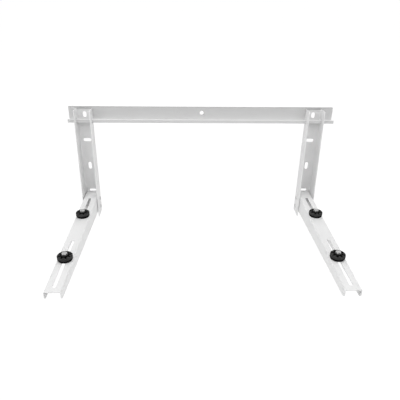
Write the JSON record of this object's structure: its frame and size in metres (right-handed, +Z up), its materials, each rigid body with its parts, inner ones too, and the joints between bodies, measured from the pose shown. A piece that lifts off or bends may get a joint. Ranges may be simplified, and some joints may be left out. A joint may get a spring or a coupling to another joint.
{
  "type": "air conditioner outdoor unit bracket",
  "caption": "Wall bracket for an air conditioner's outdoor unit: a folded crossbar carries slotted channel uprights, which hold tapered cantilever arms with bolted rubber mounts.",
  "frame": {"origin": "centre of the crossbar's middle hole, where the crossbar's back meets the wall", "axes": "+X along the crossbar to the right as seen from the room side, +Y into the wall, +Z up"},
  "size_m": [0.8, 0.518, 0.348],
  "materials": {
    "powder_coat": "white powder coat, satin",
    "rubber": "black rubber, matt",
    "zinc": "zinc plated, satin"
  },
  "bodies": {
    "root": {"arm_bolt_left_lower": "zinc", "arm_bolt_left_upper": "zinc", "arm_bolt_right_lower": "zinc", "arm_bolt_right_upper": "zinc", "arm_left": "powder_coat", "arm_nut_left_lower": "zinc", "arm_nut_left_upper": "zinc", "arm_nut_right_lower": "zinc", "arm_nut_right_upper": "zinc", "arm_right": "powder_coat", "arm_washer_left_lower": "zinc", "arm_washer_left_upper": "zinc", "arm_washer_right_lower": "zinc", "arm_washer_right_upper": "zinc", "crossbar": "powder_coat", "lower_washer_left_front": "zinc", "lower_washer_left_rear": "zinc", "lower_washer_right_front": "zinc", "lower_washer_right_rear": "zinc", "mount_bolt_left_front": "zinc", "mount_bolt_left_rear": "zinc", "mount_bolt_right_front": "zinc", "mount_bolt_right_rear": "zinc", "rubber_mount_left_front": "rubber", "rubber_mount_left_rear": "rubber", "rubber_mount_right_front": "rubber", "rubber_mount_right_rear": "rubber", "top_nut_left_front": "zinc", "top_nut_left_rear": "zinc", "top_nut_right_front": "zinc", "top_nut_right_rear": "zinc", "top_washer_left_front": "zinc", "top_washer_left_rear": "zinc", "top_washer_right_front": "zinc", "top_washer_right_rear": "zinc", "upright_left": "powder_coat", "upright_right": "powder_coat"}
  },
  "joints": []
}
